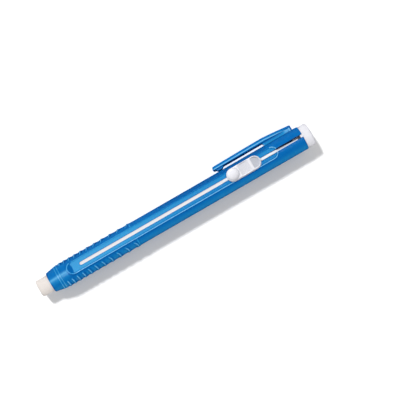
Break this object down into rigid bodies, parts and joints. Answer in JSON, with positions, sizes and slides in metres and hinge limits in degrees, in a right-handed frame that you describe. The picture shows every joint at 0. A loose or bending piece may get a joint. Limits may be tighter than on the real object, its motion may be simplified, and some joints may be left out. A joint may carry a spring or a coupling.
{
  "type": "retractable stick eraser",
  "caption": "Pen-type eraser holder: a slotted round barrel with a spring clip and end cap, and a thumb slide that feeds a round eraser stick out of the nose.",
  "frame": {"origin": "middle of the bottom of the whole pen's box, with the pen lying on a table as it comes to rest, on the underside of its barrel and on the outer edge of its clip", "axes": "+X along the pen from the nose to the end cap; the slot and thumb slide face up and 26.6 degrees towards +Y, and the pocket clip is on the +Y side"},
  "size_m": [0.121, 0.0126, 0.0114],
  "materials": {
    "blue_plastic": "glossy translucent moulding",
    "white_plastic": "satin moulding",
    "cool_white_plastic": "satin moulding",
    "eraser_vinyl": "matte soft vinyl"
  },
  "bodies": {
    "holder": {"barrel": "blue_plastic"},
    "clip": {"pocket_clip": "blue_plastic"},
    "cap": {"end_cap": "white_plastic"},
    "slider": {"thumb_slide": "white_plastic", "eraser_carriage": "cool_white_plastic"},
    "stick": {"eraser_stick": "eraser_vinyl"}
  },
  "joints": [
    {"name": "eraser_feed", "type": "slide", "parent": "holder", "child": "slider", "axis": [-1, 0, 0], "range_m": [-0.0012, 0.063]},
    {"name": "stick_refill", "type": "slide", "parent": "slider", "child": "stick", "axis": [-1, 0, 0], "range_m": [0, 0.012]},
    {"name": "clip_flex", "type": "hinge", "parent": "holder", "child": "clip", "pos_m": [0.0424, 0.00496, 0.0017], "axis": [0, -0.4477, -0.8942], "range_deg": [0, 4], "stiffness_Nm_per_rad": 0.6},
    {"name": "cap_pull", "type": "slide", "parent": "holder", "child": "cap", "axis": [1, 0, 0], "range_m": [0, 0.006]}
  ]
}
